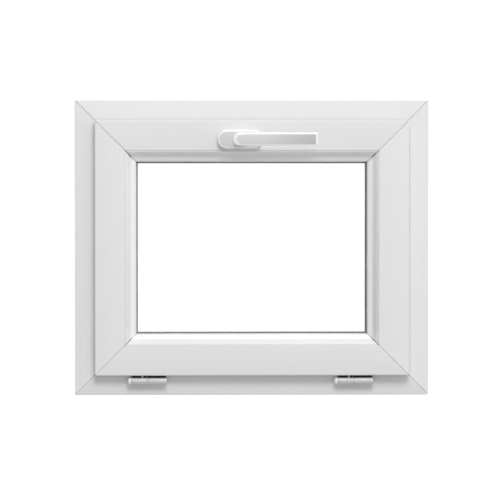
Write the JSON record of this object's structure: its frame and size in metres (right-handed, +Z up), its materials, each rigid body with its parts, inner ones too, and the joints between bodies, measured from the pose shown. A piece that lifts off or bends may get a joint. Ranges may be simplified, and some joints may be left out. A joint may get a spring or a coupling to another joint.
{
  "type": "bottom-hung window",
  "caption": "Small white plastic hopper window: mitred frame and sash, glazing beads, double glazing, top lever handle, two barrel hinges below, tilting into the room.",
  "frame": {"origin": "middle of the sill's underside, half way along it and at mid-depth of the outer frame", "axes": "+X right as seen from the room, +Y outdoors, +Z up; the room and the handle are on -Y"},
  "size_m": [0.6, 0.146, 0.5],
  "materials": {
    "white_upvc": "smooth satin-gloss white PVC-U",
    "white_lacquer": "white powder coat",
    "seal": "matt dark grey",
    "steel": "galvanised",
    "zinc": "zinc plated, satin",
    "glass": "clear float",
    "spacer": "mill",
    "block": "plain"
  },
  "bodies": {
    "frame": {"drain_cap_left": "white_upvc", "drain_cap_right": "white_upvc", "frame_gasket": "seal", "frame_head": "white_upvc", "frame_jamb_left": "white_upvc", "frame_jamb_right": "white_upvc", "frame_sill": "white_upvc", "frame_steel_head": "steel", "frame_steel_left": "steel", "frame_steel_right": "steel", "frame_steel_sill": "steel", "hinge_frame_leaf_left": "white_lacquer", "hinge_frame_leaf_right": "white_lacquer", "hinge_pin_left": "white_lacquer", "hinge_pin_right": "white_lacquer", "keep_left": "zinc", "keep_right": "zinc", "stay_bracket_left": "zinc", "stay_bracket_right": "zinc"},
    "sash": {"bead_bottom": "white_upvc", "bead_gasket": "seal", "bead_left": "white_upvc", "bead_right": "white_upvc", "bead_top": "white_upvc", "edge_seal": "seal", "gear_faceplate": "zinc", "gearbox_case": "zinc", "glass_inner": "glass", "glass_outer": "glass", "glazing_gasket": "seal", "handle_base": "block", "handle_cover": "white_lacquer", "handle_screw_left": "zinc", "handle_screw_right": "zinc", "hinge_sash_leaf_left": "white_lacquer", "hinge_sash_leaf_right": "white_lacquer", "sash_bottom_rail": "white_upvc", "sash_gasket": "seal", "sash_steel_bottom": "steel", "sash_steel_left": "steel", "sash_steel_right": "steel", "sash_steel_top": "steel", "sash_stile_left": "white_upvc", "sash_stile_right": "white_upvc", "sash_top_rail": "white_upvc", "setting_block_left": "block", "setting_block_right": "block", "spacer_bar": "spacer", "stay_track_left": "zinc", "stay_track_right": "zinc"},
    "handle": {"handle_lever": "white_lacquer", "handle_spindle": "zinc", "gear_pinion": "zinc"},
    "drive_rod": {"drive_rod": "zinc", "cam_left": "zinc", "cam_right": "zinc"},
    "stay_arm_left": {"stay_arm_left": "zinc"},
    "stay_arm_right": {"stay_arm_right": "zinc"}
  },
  "joints": [
    {"name": "sash_tilt", "type": "hinge", "parent": "frame", "child": "sash", "pos_m": [0, -0.044, 0.024], "axis": [1, 0, 0], "range_deg": [0, 20]},
    {"name": "handle_turn", "type": "hinge", "parent": "sash", "child": "handle", "pos_m": [-0.021, -0.053, 0.434], "axis": [0, 1, 0], "range_deg": [0, 90]},
    {"name": "rod_slide", "type": "slide", "parent": "sash", "child": "drive_rod", "axis": [1, 0, 0], "range_m": [0, 0.0101]},
    {"name": "stay_left_swing", "type": "hinge", "parent": "frame", "child": "stay_arm_left", "pos_m": [-0.258, -0.0255, 0.424], "axis": [-1, 0, 0], "range_deg": [0, 11.5]},
    {"name": "stay_right_swing", "type": "hinge", "parent": "frame", "child": "stay_arm_right", "pos_m": [0.258, -0.0255, 0.424], "axis": [-1, 0, 0], "range_deg": [0, 11.5]}
  ],
  "couplings": [
    {"joint": "rod_slide", "follows": "handle_turn", "m_per_rad": 0.0064},
    {"joint": "stay_left_swing", "follows": "sash_tilt", "ratio": 0.565},
    {"joint": "stay_right_swing", "follows": "sash_tilt", "ratio": 0.565}
  ]
}
